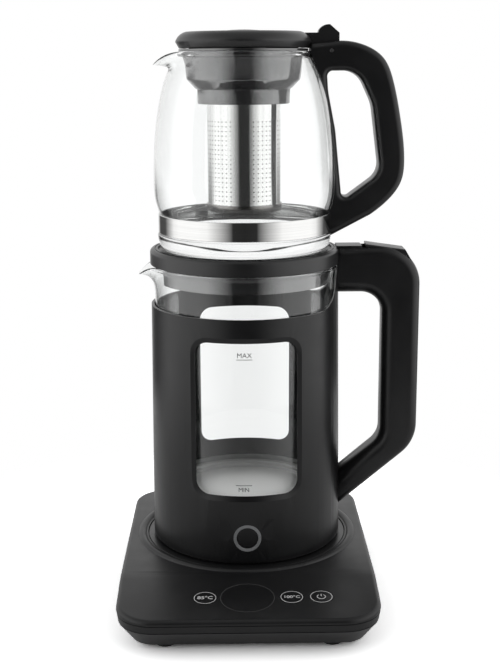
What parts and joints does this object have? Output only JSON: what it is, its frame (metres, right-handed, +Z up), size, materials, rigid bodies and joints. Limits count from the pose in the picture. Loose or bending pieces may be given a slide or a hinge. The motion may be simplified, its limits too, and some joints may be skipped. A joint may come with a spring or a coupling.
{
  "type": "automatic tea maker",
  "caption": "Electric tea maker: a corded base with key panel, a lift-off glass kettle in a windowed black sleeve, and a glass teapot with infuser standing on its lid.",
  "frame": {"origin": "on the kettle's vertical axis, on the plane of the feet", "axes": "+X towards the handles, -Y towards the control panel, +Z up"},
  "size_m": [0.2321, 0.2549, 0.4347],
  "materials": {
    "black_plastic": "satin moulded black plastic",
    "key_plastic": "smooth black plastic with printed marks",
    "ring_trim": "smoked translucent light ring",
    "gloss_black": "polished black plastic",
    "display_gloss": "black display window",
    "rubber": "soft black rubber",
    "seal_silicone": "grey silicone",
    "screw_steel": "zinc plated steel",
    "brushed_steel": "brushed stainless steel",
    "element_aluminium": "cast aluminium",
    "basket_steel": "perforated stainless steel",
    "band_steel": "polished stainless steel",
    "clear_glass": "clear borosilicate glass",
    "board": "green circuit board",
    "inner_plastic": "plain grey plastic"
  },
  "bodies": {
    "base": {"base_top_cover": "black_plastic", "base_bottom_cover": "black_plastic", "rubber_feet": "rubber", "base_screws": "screw_steel", "seat_disc": "black_plastic", "base_connector": "gloss_black", "display_lens": "display_gloss", "display_module": "inner_plastic", "control_board": "board", "key_switches": "inner_plastic", "power_board": "board", "power_relay": "inner_plastic", "cord_gland": "black_plastic"},
    "keep_warm_key": {"key_keep_warm": "key_plastic"},
    "boil_key": {"key_boil": "key_plastic"},
    "power_key": {"key_power": "key_plastic"},
    "kettle": {"kettle_glass": "clear_glass", "kettle_sleeve": "black_plastic", "kettle_bottom_cover": "black_plastic", "kettle_screws": "screw_steel", "kettle_connector": "gloss_black", "thermostat": "inner_plastic", "heater_plate": "brushed_steel", "heating_element": "element_aluminium", "glass_seal": "seal_silicone", "heater_support": "inner_plastic", "button_ring": "ring_trim", "button_switch": "inner_plastic", "button_bracket": "inner_plastic", "handle_top_cap": "black_plastic", "handle_front_shell": "black_plastic", "handle_rear_shell": "black_plastic", "handle_screws": "screw_steel", "lever_pin": "screw_steel", "lever_spring": "screw_steel"},
    "button": {"start_button": "key_plastic"},
    "lever": {"thumb_lever": "black_plastic"},
    "kettle_lid": {"kettle_lid": "black_plastic", "kettle_lid_skirt": "gloss_black", "kettle_lid_gasket": "rubber"},
    "teapot": {"teapot_glass": "clear_glass", "teapot_band": "band_steel", "band_screw": "screw_steel", "teapot_handle": "black_plastic", "teapot_hinge_pin": "screw_steel", "infuser_collar": "gloss_black", "infuser_basket": "basket_steel", "infuser_cap": "basket_steel"},
    "teapot_lid": {"teapot_lid": "black_plastic", "lid_liner": "gloss_black", "lid_cap": "black_plastic", "lid_thumb_tab": "black_plastic"}
  },
  "joints": [
    {"name": "kettle_lift", "type": "slide", "parent": "base", "child": "kettle", "axis": [0, 0, 1], "range_m": [0, 0.12]},
    {"name": "kettle_lid_lift", "type": "slide", "parent": "kettle", "child": "kettle_lid", "axis": [0, 0, 1], "range_m": [0, 0.06]},
    {"name": "teapot_lift", "type": "slide", "parent": "kettle_lid", "child": "teapot", "axis": [0, 0, 1], "range_m": [0, 0.1]},
    {"name": "teapot_lid_hinge", "type": "hinge", "parent": "teapot", "child": "teapot_lid", "pos_m": [0.0658, 0, 0.4156], "axis": [0, 1, 0], "range_deg": [0, 80]},
    {"name": "lever_press", "type": "hinge", "parent": "kettle", "child": "lever", "pos_m": [0.1, 0, 0.2622], "axis": [0, 1, 0], "range_deg": [0, 5], "stiffness_Nm_per_rad": 0.4},
    {"name": "start_press", "type": "slide", "parent": "kettle", "child": "button", "axis": [0, 1, 0], "range_m": [0, 0.001], "stiffness_N_per_m": 1200},
    {"name": "keep_warm_press", "type": "slide", "parent": "base", "child": "keep_warm_key", "axis": [0, 0.0879, -0.9961], "range_m": [0, 0.0007], "stiffness_N_per_m": 1500},
    {"name": "boil_press", "type": "slide", "parent": "base", "child": "boil_key", "axis": [0, 0.0879, -0.9961], "range_m": [0, 0.0007], "stiffness_N_per_m": 1500},
    {"name": "power_press", "type": "slide", "parent": "base", "child": "power_key", "axis": [0, 0.0879, -0.9961], "range_m": [0, 0.0007], "stiffness_N_per_m": 1500}
  ]
}
